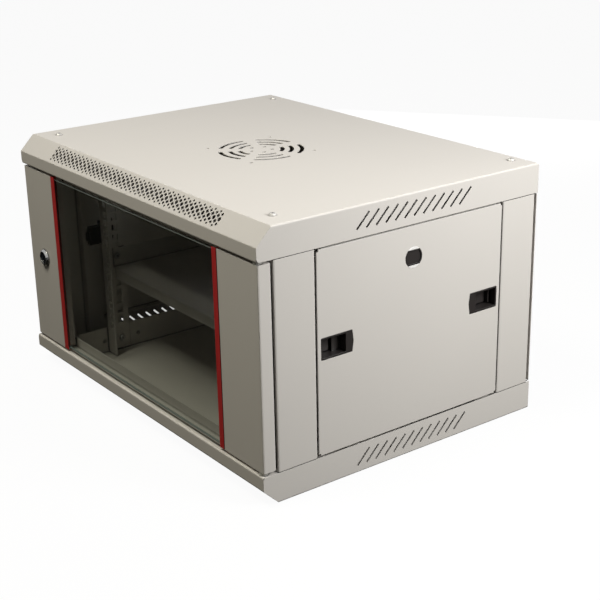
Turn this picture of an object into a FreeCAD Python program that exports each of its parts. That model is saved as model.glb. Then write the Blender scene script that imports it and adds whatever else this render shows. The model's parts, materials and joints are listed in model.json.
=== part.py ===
import FreeCAD, Part
import math
import os

# Wall mount network cabinet, six 19 inch units high. Millimetres.
# Origin on the resting plane under the middle of the cabinet. X runs to the right,
# Y to the rear and Z up, so the door faces -Y.

# ---- driving dimensions -------------------------------------------------
width = 600.0
depth = 450.0
height = 350.0

cover_sheet = 1.2          # covers, door and side panels
post_sheet = 1.5
rail_sheet = 2.0
bend = 0.8                 # inside bend radius of all folded sheet
seat = 0.3                 # gap between a loose piece and what it rests on

# covers
flange = 40.0              # how far the covers' side, rear and front edges come down
chamfer = 22.0             # front chamfer, along and down
ledge = 22.0               # depth of the ledge that the door stands over
stop_height = 14.4         # door stop folded up behind the door
flange_corner = 5.0        # rounded lower front corner of the side flange
cover_round = 2.2          # outer rounding of the top edges
corner_screw_side = 33.0   # from the cabinet's side
corner_screw_inset = 47.0  # first screw, from the front edge
corner_screw_rear = 18.0   # last screw, from the rear edge
corner_screw_hole = 6.4

# slanted vent slots in the side flanges
slot_count = 12
slot_pitch = 15.0
slot_length = 27.5
slot_width = 2.7
slot_angle = 45.0
slot_middle = 236.5        # from the front edge
slot_drop = 19.8           # below the cover's top face

# perforated band in the front chamfer: (offset from the middle row, hole diameter)
band_rows = ((0.0, 5.8), (3.8, 5.0), (-3.8, 5.0), (7.0, 4.1), (-7.0, 4.1), (10.0, 3.2), (-10.0, 3.2))
band_fine = 5.4            # holes below this size are drawn with four sides
band_columns = 36
band_pitch = 11.85

# fan grille: rings of arc slots in five sectors, (mean radius, half angle)
fan_middle = 219.0         # from the front edge
fan_sectors = 5
fan_rings = ((57.0, 24.3), (43.0, 23.0), (30.0, 20.5))
fan_slot = 6.0
fan_dot_radius = 15.5
fan_dot = 5.0
fan_screw_square = 105.0
fan_screw_hole = 4.6

# posts
post_front = 22.5          # front face of the front post, from the front edge
post_depth = 59.5
rear_post_depth = 58.0
post_face = 32.0           # width of the face that the door closes against
post_lip = 9.0
rebate = 14.0              # how far the panel seat lies inside the outer face
panel_seat = 25.0          # width of the seat
post_joint = 0.8           # gap between post and cover flange
post_nest = 0.15           # gap between a post's ends and the covers
post_tab = 40.0            # end tab that takes the corner screw
rear_recess = 5.0          # from the rear edge to the rear post

# side panels
panel_gap = 1.8
panel_corner = 3.0         # open corner of the folded edges
panel_fold_end = 9.0       # the folds stop this far from the corners
lock_hole = 27.6
lock_hole_from_top = 41.2
blank_flats = 20.0
blank_play = 0.15

# side panel latches
latch_inset = 5.4          # from the panel's edge
latch_length = 47.5
latch_nose = 2.0
latch_width = 28.4
latch_rise = 182.2         # middle, above the resting plane
latch_play = 0.25
latch_rim = 2.6
latch_box = (5.8, 38.8, 26.6)       # start, length and width of the finger pocket
latch_box_depth = 20.5
latch_wall = 1.4
latch_spring_radius = 1.6
latch_travel = 8.0
bolt_depth = 15.9          # outer face of the bolt below the panel's face
bolt_thickness = 2.0
bolt_width = 13.0
slider_length = 22.0
slider_play = 1.0
grip_height = 6.0          # finger lip on the slider
grip_thickness = 2.2
spring_cover = 12.0        # depth of the pocket over the return spring
bolt_reach = 3.0           # the bolt sticks out of the pocket by this much
seat_notch = 17.8          # cut back from the free edge of the panel seat
seat_notch_width = 31.0

# rails, 19 inch
rail_face = 92.7           # front face of the front rails, from the front edge
rail_side = 75.0           # from the cabinet's side to the rail opening
rail_face_width = 25.0
rail_flange = 37.3
rail_hole = 9.5
rail_hole_edge = 7.55      # column, from the edge of the opening
rail_hole_inset = 23.7     # column in the flange, behind the face
units = 6
unit = 44.45
unit_holes = (6.35, 22.225, 38.1)
first_unit = 44.0
rail_end = 3.5             # from the rail's end to the outside of the cover

# bars that carry the rails
bar_front = 44.0
bar_height = 40.5
bar_foot = 16.0
bar_foot_front = 90.0
bar_hole_pitch = 30.0
bar_hole_rise = 20.0
bar_hole = 6.6
bar_hole_ends = 1          # holes on each side of a rail screw

# shelf
shelf_sheet = 1.5
shelf_front = 108.0
shelf_top = 138.2
shelf_lip = 16.0
shelf_lip_inset = 9.5
shelf_side = 29.0
shelf_hole = 6.6

# rear panel
rear_joggle = 11.0
wall_spacing_x = 400.0
wall_spacing_z = 180.0
wall_slot_width = 9.0
wall_slot_length = 22.0
cable_opening = (220.0, 44.0)
cable_opening_rise = 84.0
cable_corner = 6.0

# screws
m6 = 6.0
m6_head = 10.6
m6_head_height = 2.7
m6_sink = 2.6              # depth of a countersunk head
m6_length = 12.0
m6_nut = 10.0
m6_nut_height = 5.0
m4 = 4.0
m4_head = 8.0
m4_head_height = 2.4
m4_length = 8.0
thread_play = 0.15         # a screw's shank is this much under its nominal radius

# door
door_front = 2.0           # face of the stiles, from the front edge
door_depth = 18.5
door_side_gap = 1.5
door_end_gap = 3.8
stile_width = 85.0
stile_lip = 12.0
trim_width = 10.0
trim_depth = 7.0
trim_rebate = 6.6
trim_round = 0.8
glass_sheet = 4.0
glass_offset = 1.3         # glass face behind the stile face
glass_end_gap = 3.0
glass_play = 0.2

# hinge pins
hinge_inset = 9.0          # axis, from the cabinet's side
hinge_offset = 7.0         # axis, from the front edge
pin_radius = 3.0
pin_play = 0.06
pin_collar = 3.7
pin_reach = 10.0
bush_wall = 1.2
bush_nose = 1.5            # bush, beyond the ledge's sheet
bush_flange_radius = 5.4
block_size = (13.0, 10.0, 12.0)
block_offset = 4.0         # from the axis to the block's outer side
bracket_height = 30.0      # upper block, with the spring between its two lugs
bracket_web = 3.0
bracket_lug = 4.0
pin_tip = 3.0              # upper pin, above the ledge
pin_tail = 9.0             # upper pin, below its bracket
pin_collar_height = 1.6
pin_handle = 15.0
hinge_spring_radius = 3.7

# door lock
lock_side = 47.0           # from the cabinet's side
lock_z = 175.0
lock_bezel = 12.6
lock_bezel_height = 4.5
lock_body = 9.5
lock_body_length = 17.0
lock_nut = 13.0
lock_nut_height = 3.0
barrel = 7.6
barrel_play = 0.05
cam_length = 23.0
cam_width = 14.0
cam_sheet = 2.0
cam_screw_length = 6.0
cam_gap = 1.6              # between post face and cam
cam_window = 12.0

# ---- places worked out from the dimensions ------------------------------
bush_flange = door_end_gap - seat       # the door stands on the lower bush
front = -depth / 2
corner_screw_x = width / 2 - corner_screw_side
rail_opening = width - 2 * rail_side
lock_x = width / 2 - lock_side
post_rear = depth - rear_recess
panel_front = post_front + post_depth + panel_gap
panel_rear = post_rear - rear_post_depth - panel_gap
panel_bottom = flange + panel_gap
panel_top = height - flange - panel_gap
door_side = width / 2 - door_side_gap
door_bottom = flange + door_end_gap
door_top = height - flange - door_end_gap
stile_inner = door_side - stile_width
trim_inner = stile_inner - trim_width
hinge_x = width / 2 - hinge_inset
rail_outer = rail_opening / 2 + rail_face_width
rear_depth = rear_recess - cover_sheet
rail_screw_y = rail_face + rail_hole_inset
shelf_rear = depth - shelf_front
shelf_screw_z = first_unit + 2 * unit + unit_holes[1]


# ---- folded sheet -------------------------------------------------------
def unit_vector(a, b):
    length = math.hypot(b[0] - a[0], b[1] - a[1])
    return ((b[0] - a[0]) / length, (b[1] - a[1]) / length)


def folded_face(path, sheet, place, chords=2):
    """Section of a folded strip: path is one face of the sheet, the metal lies to its right.

    path holds (u, v) points and place turns a point into a vector. Each bend is drawn with
    this many chords on both faces of the sheet."""
    here, there = [path[0]], []
    first = unit_vector(path[0], path[1])
    there.append((path[0][0] + first[1] * sheet, path[0][1] - first[0] * sheet))
    for before, corner, after in zip(path, path[1:], path[2:]):
        a, b = unit_vector(before, corner), unit_vector(corner, after)
        cross = a[0] * b[1] - a[1] * b[0]
        turn = math.atan2(abs(cross), a[0] * b[0] + a[1] * b[1])
        side = -1.0 if cross < 0 else 1.0
        near = bend + sheet if cross < 0 else bend
        far = bend if cross < 0 else bend + sheet
        setback = near * math.tan(turn / 2)
        start = (corner[0] - a[0] * setback, corner[1] - a[1] * setback)
        centre = (start[0] - side * a[1] * near, start[1] + side * a[0] * near)
        for k in range(chords + 1):
            angle = side * turn * k / chords
            arm = (side * (a[1] * math.cos(angle) + a[0] * math.sin(angle)),
                   side * (a[1] * math.sin(angle) - a[0] * math.cos(angle)))
            here.append((centre[0] + arm[0] * near, centre[1] + arm[1] * near))
            there.append((centre[0] + arm[0] * far, centre[1] + arm[1] * far))
    last = unit_vector(path[-2], path[-1])
    here.append(path[-1])
    there.append((path[-1][0] + last[1] * sheet, path[-1][1] - last[0] * sheet))
    points = [place(p) for p in here + there[::-1]]
    return Part.Face(Part.makePolygon(points + points[:1]))


def outline(points, radii, place, chords=4):
    """Closed face with one corner radius for each point, each corner drawn with this many chords."""
    line, count = [], len(points)
    for i in range(count):
        before, corner, after = points[i - 1], points[i], points[(i + 1) % count]
        if radii[i] <= 0:
            line.append(corner)
            continue
        a, b = unit_vector(before, corner), unit_vector(corner, after)
        cross = a[0] * b[1] - a[1] * b[0]
        turn = math.atan2(abs(cross), a[0] * b[0] + a[1] * b[1])
        side = 1.0 if cross > 0 else -1.0
        setback = radii[i] * math.tan(turn / 2)
        centre = (corner[0] - a[0] * setback - side * a[1] * radii[i],
                  corner[1] - a[1] * setback + side * a[0] * radii[i])
        for k in range(chords + 1):
            angle = side * turn * k / chords
            line.append((centre[0] + radii[i] * side * (a[1] * math.cos(angle) + a[0] * math.sin(angle)),
                         centre[1] + radii[i] * side * (a[1] * math.sin(angle) - a[0] * math.cos(angle))))
    corners = [place(p) for p in line]
    return Part.Face(Part.makePolygon(corners + corners[:1]))


def plan(z):
    """Points are (x, distance from the front edge)."""
    return lambda p: FreeCAD.Vector(p[0], front + p[1], z)


def side_view(x):
    """Points are (distance from the front edge, z)."""
    return lambda p: FreeCAD.Vector(x, front + p[0], p[1])


def front_view(y):
    """Points are (x, z) at a distance y from the front edge."""
    return lambda p: FreeCAD.Vector(p[0], front + y, p[1])


def vector(x, y, z):
    return FreeCAD.Vector(x, y, z)


def box(x0, x1, y0, y1, z0, z1):
    """Box between two corners, with y counted from the front edge."""
    return Part.makeBox(x1 - x0, y1 - y0, z1 - z0, vector(x0, front + y0, z0))


def rod(radius, length, x, y, z, axis):
    return Part.makeCylinder(radius, length, vector(x, front + y, z), axis)


def turned(profile, sides, seat_point, axis):
    """Turned solid drawn with flat sides; profile holds (radius, distance along the axis) points.

    A profile that starts and ends on the axis gives a plain solid, any other one a ring."""
    rings = [[vector(r * math.cos(2 * math.pi * i / sides), r * math.sin(2 * math.pi * i / sides), d)
              for i in range(sides)] for r, d in profile if r > 0]
    plain = profile[0][0] == 0
    faces = [[ring[0], ring[1], other[1], other[0]]
             for low, high in (zip(rings, rings[1:]) if plain else zip(rings, rings[1:] + rings[:1]))
             for ring, other in zip(zip(low, low[1:] + low[:1]), zip(high, high[1:] + high[:1]))]
    faces += [rings[0], rings[-1]] if plain else []
    solid = Part.Solid(Part.makeShell([Part.Face(Part.makePolygon(f + f[:1])) for f in faces]))
    if solid.Volume < 0:
        solid.reverse()
    solid.Placement = FreeCAD.Placement(seat_point, FreeCAD.Rotation(Z, axis))
    return solid


def bored(radius, length, x, y, z, axis):
    """Six sided tool for a hole that clears a rod of this radius."""
    corner = radius / math.cos(math.pi / 6)
    return turned([(0, 0), (corner, 0), (corner, length), (0, length)], 6, vector(x, front + y, z), axis)


def union(shapes):
    return shapes[0].fuse(shapes[1:]).removeSplitter() if len(shapes) > 1 else shapes[0]


def cut(shape, tools):
    return shape.cut(Part.makeCompound(tools)) if tools else shape


def solid_of(shape):
    return shape.Solids[0] if len(shape.Solids) == 1 else shape


def mirrored_x(shape):
    return shape.mirror(vector(0, 0, 0), vector(1, 0, 0))


def mirrored_y(shape):
    return shape.mirror(vector(0, 0, 0), vector(0, 1, 0))


def mirrored_z(shape):
    return shape.mirror(vector(0, 0, height / 2), vector(0, 0, 1))


X, Y, Z = vector(1, 0, 0), vector(0, 1, 0), vector(0, 0, 1)


# ---- covers -------------------------------------------------------------
def cover_pan():
    """Top cover without its openings."""
    low = height - flange
    outer = bend + cover_sheet
    half = width / 2 - cover_sheet
    stop_half = width / 2 - post_face - seat
    body_path = [(0, low), (0, height - chamfer), (chamfer, height), (depth, height), (depth, low)]
    ledge_path = [(ledge, low), (0, low), (0, height - chamfer), (chamfer, height), (depth, height), (depth, low)]
    strip = folded_face(ledge_path, cover_sheet, side_view(-half), 4).extrude(X * 2 * half)
    stop_path = [(ledge, low - stop_height), (ledge, low), (ledge - 6 * cover_sheet, low)]
    stop = folded_face(stop_path, cover_sheet, side_view(-stop_half)).extrude(X * 2 * stop_half)
    points = body_path[1:] + [body_path[0]]
    sides = [outline(points, [outer, outer, outer, 0, flange_corner], side_view(x)).extrude(X * cover_sheet)
             for x in (-width / 2, width / 2 - cover_sheet)]
    pan = union([strip, stop] + sides)
    corners = [(-width / 2, low - 2 * flange), (width / 2, low - 2 * flange),
               (width / 2, height), (-width / 2, height)]
    envelope = outline(corners, [0, 0, cover_round, cover_round], front_view(0)).extrude(Y * depth)
    return pan.common(envelope)


def band_hole(diameter, centre, normal):
    """Tool through the sheet for one small hole, six or four sided and of the same area as the round one."""
    sides = 6 if diameter > band_fine else 4
    corner = diameter / 2 * math.sqrt(2 * math.pi / sides / math.sin(2 * math.pi / sides))
    profile = [(0, -cover_sheet), (corner, -cover_sheet), (corner, 2 * cover_sheet), (0, 2 * cover_sheet)]
    return turned(profile, sides, centre, normal)


def band_holes():
    """Graded perforation of the chamfer: large holes in the middle row, small ones outside."""
    slope = vector(0, 1, 1).normalize()
    inward = vector(0, 1, -1).normalize()
    middle = vector(0, front + chamfer / 2, height - chamfer / 2)
    tools = []
    for offset, diameter in band_rows:
        shift = band_pitch / 4 if abs(offset) < 1 or 5 < abs(offset) < 8 else -band_pitch / 4
        for column in range(band_columns):
            along = (column - (band_columns - 1) / 2) * band_pitch + shift
            centre = middle + X * along + slope * offset
            tools.append(band_hole(diameter, centre, inward))
    return tools


def arc_slot(radius, half_angle, middle_angle):
    """Slot along an arc, with blunt round ends."""
    def at(r, degrees):
        angle = math.radians(middle_angle + degrees)
        return plan(height - 2 * cover_sheet)((r * math.cos(angle), fan_middle + r * math.sin(angle)))
    half = fan_slot / 2
    shoulder = math.degrees(half * 0.8 / radius)
    steps = [k / 2 - 1 for k in range(5)]
    points = [at(radius + half, half_angle * k) for k in steps]
    points += [at(radius + half * 0.6, half_angle + shoulder), at(radius - half * 0.6, half_angle + shoulder)]
    points += [at(radius - half, -half_angle * k) for k in steps]
    points += [at(radius - half * 0.6, -half_angle - shoulder), at(radius + half * 0.6, -half_angle - shoulder)]
    return Part.Face(Part.makePolygon(points + points[:1])).extrude(Z * 4 * cover_sheet)


def fan_holes():
    below = height - 2 * cover_sheet
    through = 4 * cover_sheet
    tools = []
    for sector in range(fan_sectors):
        angle = -90 + sector * 360 / fan_sectors
        tools += [arc_slot(radius, half_angle, angle) for radius, half_angle in fan_rings]
        x = fan_dot_radius * math.cos(math.radians(angle))
        y = fan_middle + fan_dot_radius * math.sin(math.radians(angle))
        tools.append(bored(fan_dot / 2, through, x, y, below, Z))
    for sx in (-1, 1):
        for sy in (-1, 1):
            tools.append(rod(fan_screw_hole / 2, through, sx * fan_screw_square / 2,
                             fan_middle + sy * fan_screw_square / 2, below, Z))
    return tools


def side_slots():
    """Slanted slots; they lean one way on the right side and the other way on the left."""
    tools = []
    for side in (-1, 1):
        for k in range(slot_count):
            y = slot_middle + (k - (slot_count - 1) / 2) * slot_pitch
            slot = Part.makeBox(4 * cover_sheet, slot_length, slot_width,
                                vector(-2 * cover_sheet, -slot_length / 2, -slot_width / 2))
            slot.rotate(vector(0, 0, 0), X, side * slot_angle)
            slot.translate(vector(side * (width - cover_sheet) / 2, front + y, height - slot_drop))
            tools.append(slot)
    return tools


def corner_screw_places():
    return [(sx * corner_screw_x, y) for sx in (-1, 1) for y in (corner_screw_inset, depth - corner_screw_rear)]


def top_cover():
    tools = band_holes() + fan_holes() + side_slots()
    tools += [bored(corner_screw_hole / 2, 4 * cover_sheet, x, y, height - 2 * cover_sheet, Z)
              for x, y in corner_screw_places()]
    tools.append(bush_hole())
    return cut(cover_pan(), tools)


def bottom_cover():
    """The same pan turned over about its depth, without fan grille and perforation."""
    pan = cut(cover_pan(), side_slots())
    pan.rotate(vector(0, 0, height / 2), Y, 180)
    return cut(pan, sink_tools() + [mirrored_z(bush_hole())])


def bush_hole():
    radius = pin_radius + pin_play + bush_wall
    return turned([(0, 0), (radius, 0), (radius, 4 * cover_sheet), (0, 4 * cover_sheet)], 16,
                  vector(hinge_x, front + hinge_offset, height - flange - 2 * cover_sheet), Z)


# ---- posts --------------------------------------------------------------
def post_path(outer):
    """Section of the front right post, its outer wall at x = outer."""
    inner = width / 2 - post_face
    back = post_front + post_depth
    seat_x = width / 2 - rebate
    return [(inner, post_front + post_lip), (inner, post_front), (outer, post_front),
            (outer, back), (seat_x, back), (seat_x, back + panel_seat)]


def front_post_right():
    low, high = cover_sheet + post_nest, height - cover_sheet - post_nest
    inside = width / 2 - cover_sheet - post_nest
    full = folded_face(list(reversed(post_path(inside))), post_sheet, plan(low)).extrude(Z * (high - low))
    wall_low, wall_high = flange + post_joint, height - flange - post_joint
    wall = folded_face(list(reversed(post_path(width / 2))), post_sheet, plan(wall_low))
    wall = wall.extrude(Z * (wall_high - wall_low))
    inner = width / 2 - post_tab
    back = post_front + post_depth - 2 * post_sheet
    tabs = [box(inner, inside - post_sheet / 2, post_front + post_sheet / 2, back, z, z + post_sheet)
            for z in (low, high - post_sheet)]
    post = union([full, wall] + tabs)
    free_edge = post_front + post_depth + panel_seat
    tools = [box(width / 2 - rebate - 3 * post_sheet, width / 2 - rebate + post_sheet,
                 free_edge - seat_notch, free_edge + seat, latch_rise - seat_notch_width / 2,
                 latch_rise + seat_notch_width / 2)]
    tools.append(bored(m6 / 2 + 0.1, 4 * post_sheet, corner_screw_x, corner_screw_inset, high - 2 * post_sheet, Z))
    return solid_of(cut(post, tools + sink_tools()))


def front_post_left():
    """The left post also has a window in its lip for the lock's cam."""
    post = mirrored_x(front_post_right())
    inner = width / 2 - post_face
    window = box(-inner - 2 * post_sheet, -inner + post_sheet, post_front + post_sheet + bend,
                 post_front + post_lip + seat, lock_z - cam_window, lock_z + 2.5 * cam_window)
    return solid_of(post.cut(window))


def rear_post(side):
    """Same section, turned to the rear and holding the rear corner screw."""
    low, high = cover_sheet + post_nest, height - cover_sheet - post_nest
    inside = width / 2 - cover_sheet - post_nest
    wall_low, wall_high = flange + post_joint, height - flange - post_joint
    inner = width / 2 - post_face
    lead = panel_rear + panel_gap
    seat_x = width / 2 - rebate

    def path(outer):
        return [(inner, post_rear - post_lip), (inner, post_rear), (outer, post_rear),
                (outer, lead), (seat_x, lead), (seat_x, lead - panel_seat)]
    full = folded_face(path(inside), post_sheet, plan(low)).extrude(Z * (high - low))
    wall = folded_face(path(width / 2), post_sheet, plan(wall_low)).extrude(Z * (wall_high - wall_low))
    tabs = [box(width / 2 - post_tab, inside - post_sheet / 2, lead + 2 * post_sheet,
                post_rear - post_sheet / 2, z, z + post_sheet) for z in (low, high - post_sheet)]
    post = union([full, wall] + tabs)
    free_edge = lead - panel_seat
    tools = [box(width / 2 - rebate - 3 * post_sheet, width / 2 - rebate + post_sheet,
                 free_edge - seat, free_edge + seat_notch, latch_rise - seat_notch_width / 2,
                 latch_rise + seat_notch_width / 2)]
    tools.append(bored(m6 / 2 + 0.1, 4 * post_sheet, corner_screw_x, depth - corner_screw_rear,
                       high - 2 * post_sheet, Z))
    tools += [bored(m4 / 2, 4 * post_sheet, x, post_rear - 2 * post_sheet, z, Y)
              for x, z in rear_screw_places() if x > 0]
    post = solid_of(cut(post, tools + sink_tools()))
    return post if side > 0 else mirrored_x(post)


# ---- rear panel ---------------------------------------------------------
def rear_screw_places():
    x = width / 2 - post_face / 2 - 4
    rise = 62.0
    return [(sx * x, z) for sx in (-1, 1) for z in (rise, height / 2, height - rise)]


def rear_panel():
    half = width / 2 - 1.0
    low, high = flange + 2 * post_joint, height - flange - 2 * post_joint
    back, sunk = depth, depth - rear_depth
    path = [(half, back), (half - rear_joggle, back), (half - rear_joggle - rear_depth, sunk),
            (-half + rear_joggle + rear_depth, sunk), (-half + rear_joggle, back), (-half, back)]
    panel = folded_face(list(reversed(path)), cover_sheet, plan(low)).extrude(Z * (high - low))
    tools = [bored(m4 / 2 + 0.1, 8 * cover_sheet, x, sunk - 4 * cover_sheet, z, Y) for x, z in rear_screw_places()]
    for x in (-wall_spacing_x / 2, wall_spacing_x / 2):
        for z in (height / 2 - wall_spacing_z / 2, height / 2 + wall_spacing_z / 2):
            reach, r = (wall_slot_length - wall_slot_width) / 2, wall_slot_width / 2
            tools.append(union([box(x - reach, x + reach, sunk - 4 * cover_sheet, sunk + 4 * cover_sheet, z - r, z + r)]
                               + [rod(r, 8 * cover_sheet, x + end * reach, sunk - 4 * cover_sheet, z, Y)
                                  for end in (-1, 1)]))
    x, z = cable_opening[0] / 2, cable_opening[1] / 2
    points = [(-x, cable_opening_rise - z), (x, cable_opening_rise - z), (x, cable_opening_rise + z),
              (-x, cable_opening_rise + z)]
    opening = outline(points, [cable_corner] * 4, front_view(sunk - 4 * cover_sheet), 2)
    return cut(panel, tools + [opening.extrude(Y * 8 * cover_sheet)])


# ---- side panels and their latches --------------------------------------
def side_panel_right():
    outer = width / 2
    deep = rebate - seat
    plate = box(outer - cover_sheet, outer, panel_front, panel_rear, panel_bottom, panel_top)
    folds = [box(outer - deep, outer, y, y + cover_sheet, panel_bottom + panel_fold_end, panel_top - panel_fold_end)
             for y in (panel_front, panel_rear - cover_sheet)]
    folds += [box(outer - deep, outer, panel_front + panel_fold_end, panel_rear - panel_fold_end, z, z + cover_sheet)
              for z in (panel_bottom, panel_top - cover_sheet)]
    pan = union([plate] + folds)
    long_edges = [e for e in pan.Edges if abs(e.BoundBox.XMin - outer) < 1e-6 and e.Length > 100]
    pan = pan.makeChamfer(cover_round / 3, long_edges)
    tools = []
    for y in (panel_front, panel_rear - panel_corner):
        for z in (panel_bottom, panel_top - panel_corner):
            tools.append(box(outer - 2 * cover_sheet, outer + 1, y, y + panel_corner, z, z + panel_corner))
    tools.append(blank_shape(lock_hole / 2, blank_flats, -1.0, 2 * cover_sheet))
    for mirror in (False, True):
        hole = outline(latch_outline(latch_play), [1.5, 0, 0, 0, 1.5], latch_view(-1.0), 2)
        hole = hole.extrude(-X * 3 * cover_sheet)
        tools.append(to_rear(hole) if mirror else hole)
    return cut(pan, tools)


def panel_middle():
    return (panel_front + panel_rear) / 2


def to_rear(shape):
    """Mirror about the middle of the side panel."""
    return shape.mirror(vector(0, front + panel_middle(), 0), vector(0, 1, 0))


def latch_outline(play):
    """Points (along from the panel's edge, up from the middle), pointed towards the panel's middle."""
    a0, a1 = latch_inset - play, latch_inset + latch_length + play
    half = latch_width / 2 + play
    return [(a0, -half), (a1, -half), (a1 + latch_nose, 0), (a1, half), (a0, half)]


def latch_view(inward):
    """Points (along from the panel's front edge, up from the latch's middle) below the outer face."""
    return lambda p: vector(width / 2 - inward, front + panel_front + p[0], latch_rise + p[1])


def latch_box_shape(start, length, wide, top, bottom):
    points = [(start, -wide / 2), (start + length, -wide / 2), (start + length, wide / 2), (start, wide / 2)]
    return outline(points, [0] * 4, latch_view(top)).extrude(-X * (bottom - top))


def latch_housing():
    """Rim and finger pocket, with a slot for the bolt and a cover over the return spring."""
    rim = outline(latch_outline(0), [1.5, 0, 0, 0, 1.5], latch_view(0.15), 2).extrude(-X * latch_rim)
    start, length, wide = latch_box
    collar = outline(latch_outline(2.2), [0] * 5, latch_view(cover_sheet + 0.05))
    collar = collar.extrude(-X * latch_rim / 2)
    pocket = latch_box_shape(start, length, wide, latch_rim, latch_box_depth)
    inner_start, inner_length, inner_wide = start + latch_wall, length - 2 * latch_wall, wide - 2 * latch_wall
    body = union([rim, collar, pocket]).cut(
        latch_box_shape(inner_start, inner_length, inner_wide, -1, latch_box_depth - latch_wall))
    cover_start = inner_start + slider_play + slider_length
    cover = latch_box_shape(cover_start, inner_start + inner_length - cover_start + latch_wall / 2,
                            inner_wide + latch_wall, spring_cover, spring_cover + latch_wall)
    x0, x1 = width / 2 - bolt_depth - bolt_thickness - seat, width / 2 - bolt_depth + seat
    slot = box(x0, x1, panel_front + start - 1, panel_front + start + 2 * latch_wall,
               latch_rise - bolt_width / 2 - seat, latch_rise + bolt_width / 2 + seat)
    return solid_of(union([body, cover]).cut(slot))


def latch_slider():
    """Plate on the pocket's floor with a finger lip, and the bolt that holds behind the post's seat."""
    start, _, wide = latch_box
    plate_start = start + latch_wall + slider_play
    plate = latch_box_shape(plate_start, slider_length - 2 * slider_play, wide - 2 * latch_wall - 2 * slider_play,
                            bolt_depth, bolt_depth + bolt_thickness)
    grip = latch_box_shape(plate_start + slider_play, grip_thickness, wide - 2 * latch_wall - 4 * slider_play,
                           bolt_depth - grip_height, bolt_depth)
    bolt = box(width / 2 - bolt_depth - bolt_thickness, width / 2 - bolt_depth,
               panel_front + start - bolt_reach, panel_front + plate_start + slider_play,
               latch_rise - bolt_width / 2, latch_rise + bolt_width / 2)
    nose = bolt.makeChamfer(1.2, [e for e in bolt.Edges if e.Length > bolt_width - 0.01
                                  and e.BoundBox.YMax < front + panel_front + start - bolt_reach + 0.01
                                  and e.BoundBox.XMax < width / 2 - bolt_depth - bolt_thickness + 0.01])
    return solid_of(union([plate, grip, nose]))


def latch_spring():
    """Return spring between the slider and the pocket's far wall, under the cover."""
    start, length, _ = latch_box
    far = start + length - latch_wall
    near = start + latch_wall + slider_length - slider_play
    return spring_sleeve(latch_spring_radius, 0.5 * latch_spring_radius, far - near - latch_travel - seat,
                         vector(width / 2 - bolt_depth - bolt_thickness / 2, front + panel_front + far, latch_rise), -Y)


def spring_sleeve(outer, inner, length, base, axis):
    """Closed outline of a closely wound spring; inner is the radius that stays clear."""
    clear = inner / math.cos(math.pi / 10)
    return turned([(clear, 0), (outer, 0), (outer, length), (clear, length)], 10, base, axis)


def blank_shape(radius, flats, top, bottom):
    """Round piece with two level flats, between two depths below the panel's face."""
    z = panel_top - lock_hole_from_top
    piece = turned([(0, top), (radius, top), (radius, bottom), (0, bottom)], 24,
                   vector(width / 2, front + panel_middle(), z), -X)
    return piece.common(box(width / 2 - bottom - 1, width / 2 - top + 1, panel_middle() - 2 * radius,
                            panel_middle() + 2 * radius, z - flats / 2, z + flats / 2))


def lock_blank():
    """Plug that closes the panel's lock hole, dished in front and held by a collar behind the sheet."""
    radius, collar = lock_hole / 2 - blank_play, cover_sheet + 0.05
    plug = blank_shape(radius, blank_flats - 2 * blank_play, 0.3, 9.0)
    collar = blank_shape(radius + 2.0, blank_flats + 4.0, collar, collar + 1.4)
    dish = blank_shape(radius - 1.5, blank_flats - 3.0, -1.0, 1.3)
    return solid_of(union([plug, collar]).cut(dish))


# ---- rails and bars -----------------------------------------------------
def rail_right(flange_holes):
    """Front right rail: perforated face, and a flange outside it that is perforated on the front rails."""
    low, high = rail_end, height - rail_end
    path = [(rail_outer, rail_face + rail_flange), (rail_outer, rail_face), (rail_opening / 2, rail_face)]
    rail = folded_face(path, rail_sheet, plan(low)).extrude(Z * (high - low))
    tools = []
    hole = rail_hole / 2
    for number in range(units):
        for rise in unit_holes:
            z = first_unit + number * unit + rise
            x, y = rail_opening / 2 + rail_hole_edge, rail_screw_y
            tools.append(box(x - hole, x + hole, rail_face - 1, rail_face + rail_sheet + 0.5, z - hole, z + hole))
            if flange_holes or abs(z - shelf_screw_z) < 1:
                tools.append(box(rail_outer - rail_sheet - 0.5, rail_outer + 1, y - hole, y + hole,
                                 z - hole, z + hole))
    tools += [bored(bar_hole / 2, 4 * rail_sheet, rail_outer - 2 * rail_sheet, rail_screw_y, z, X)
              for z in rail_screw_heights()]
    return solid_of(cut(rail, tools))


def rail_screw_heights():
    return (bar_hole_rise, height - bar_hole_rise)


def lower_bar_right():
    """Upright strip on the cover, with holes for the rails and a foot on the cover."""
    low = cover_sheet
    rear = depth - bar_front
    web = box(rail_outer, rail_outer + rail_sheet, bar_front, rear, low, low + bar_height)
    foot_rear = depth - bar_foot_front
    foot = folded_face([(rail_outer + bar_foot, low), (rail_outer, low), (rail_outer, low + bar_height)],
                       rail_sheet, front_view(bar_foot_front))
    bar = union([web, foot.extrude(Y * (foot_rear - bar_foot_front))])
    tools = []
    for y in (rail_screw_y, depth - rail_screw_y):
        for k in range(-bar_hole_ends, bar_hole_ends + 1):
            tools.append(bored(bar_hole / 2, 3 * rail_sheet, rail_outer - rail_sheet, y + k * bar_hole_pitch,
                               bar_hole_rise, X))
    return solid_of(cut(bar, tools))


def rail_screws():
    solids = []
    for side in (-1, 1):
        for y in (rail_screw_y, depth - rail_screw_y):
            for z in rail_screw_heights():
                solids.append(pan_screw(m6, m6_head, m6_head_height, 2 * rail_sheet + m6_nut_height + 1,
                                        vector(side * (rail_outer - rail_sheet), front + y, z), X * side))
    return Part.makeCompound(solids)


def rail_nuts():
    solids = []
    for side in (-1, 1):
        for y in (rail_screw_y, depth - rail_screw_y):
            for z in rail_screw_heights():
                solids.append(hex_nut(m6, m6_nut, m6_nut_height,
                                      vector(side * (rail_outer + rail_sheet), front + y, z), X * side))
    return Part.makeCompound(solids)


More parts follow.
